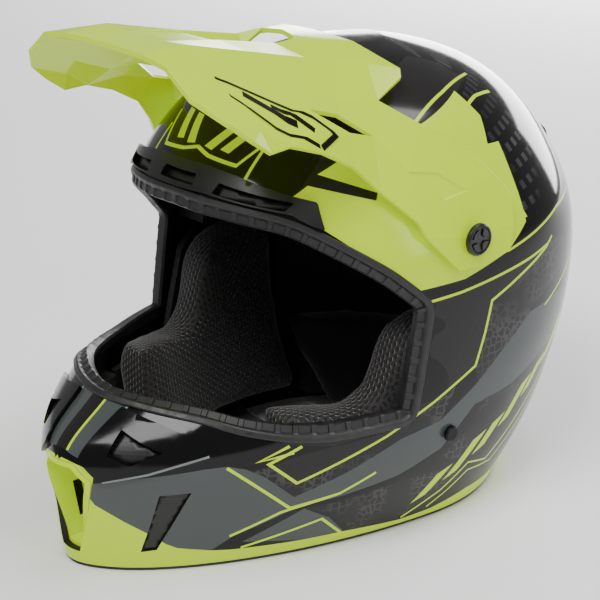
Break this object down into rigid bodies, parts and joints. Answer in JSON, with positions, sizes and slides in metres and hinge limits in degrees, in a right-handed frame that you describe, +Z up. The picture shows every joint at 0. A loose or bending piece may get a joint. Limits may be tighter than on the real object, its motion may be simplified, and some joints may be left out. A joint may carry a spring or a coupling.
{
  "type": "motocross helmet",
  "caption": "Full-face off-road helmet with a long faceted peak, wide eye port, chin-bar vents, foam and fabric lining and a ring-buckled chin strap.",
  "frame": {"origin": "middle of the bounding box on the plane of the bottom edge", "axes": "+Z up, the wearer faces -Y, +X is the wearer's left"},
  "size_m": [0.25, 0.3461, 0.279],
  "materials": {
    "shell_paint": "clear-coated paint in black, two greys and fluorescent yellow",
    "yellow_plastic": "gloss moulded, fluorescent yellow",
    "black_plastic": "satin moulded",
    "rubber": "matt extruded",
    "foam": "moulded bead foam",
    "liner_fabric": "spacer mesh over soft foam",
    "mesh": "fine punched mesh",
    "webbing": "flat woven webbing",
    "steel": "plated"
  },
  "bodies": {
    "helmet": {"shell_outer": "shell_paint", "eyeport_trim": "rubber", "base_trim": "rubber", "eps_crown_liner": "foam", "eps_chin_liner": "foam", "comfort_liner": "liner_fabric", "neck_roll": "liner_fabric", "brow_vent_frame": "black_plastic", "brow_mesh_centre": "mesh", "brow_mesh_left": "mesh", "brow_mesh_right": "mesh", "mouth_vent_duct": "yellow_plastic", "mouth_vent_grille": "mesh", "chin_scoop_left": "black_plastic", "chin_scoop_right": "black_plastic", "scoop_mesh_left": "mesh", "scoop_mesh_right": "mesh", "chin_slot_mesh_left": "mesh", "chin_slot_mesh_right": "mesh", "rear_exhaust_left": "black_plastic", "rear_exhaust_right": "black_plastic", "exhaust_mesh_left": "mesh", "exhaust_mesh_right": "mesh", "peak_nut_left": "steel", "peak_nut_right": "steel", "peak_washer_left": "rubber", "peak_washer_right": "rubber", "strap_rivet_left": "steel", "strap_rivet_right": "steel"},
    "peak": {"peak": "yellow_plastic"},
    "peak_screw_left": {"peak_screw_left": "black_plastic"},
    "peak_screw_right": {"peak_screw_right": "black_plastic"},
    "cheek_pad_left": {"cheek_pad_left": "liner_fabric", "cheek_core_left": "foam"},
    "cheek_pad_right": {"cheek_pad_right": "liner_fabric", "cheek_core_right": "foam"},
    "chin_strap": {"strap_left": "webbing", "strap_right": "webbing", "strap_d_ring": "steel", "strap_snap": "black_plastic"}
  },
  "joints": [
    {"name": "peak_tilt", "type": "hinge", "parent": "helmet", "child": "peak", "pos_m": [0, 0.015, 0.172], "axis": [1, 0, 0], "range_deg": [-4, 6]},
    {"name": "peak_screw_left_turn", "type": "hinge", "parent": "helmet", "child": "peak_screw_left", "pos_m": [0.122, 0.015, 0.172], "axis": [1, 0, 0], "continuous": true},
    {"name": "peak_screw_right_turn", "type": "hinge", "parent": "helmet", "child": "peak_screw_right", "pos_m": [-0.122, 0.015, 0.172], "axis": [-1, 0, 0], "continuous": true},
    {"name": "chin_strap_swing", "type": "hinge", "parent": "helmet", "child": "chin_strap", "pos_m": [0, 0.0095, 0.059], "axis": [1, 0, 0], "range_deg": [-12, 5]},
    {"name": "cheek_pad_left_slide", "type": "slide", "parent": "helmet", "child": "cheek_pad_left", "axis": [-1, 0, 0], "range_m": [0, 0.012]},
    {"name": "cheek_pad_right_slide", "type": "slide", "parent": "helmet", "child": "cheek_pad_right", "axis": [1, 0, 0], "range_m": [0, 0.012]}
  ]
}
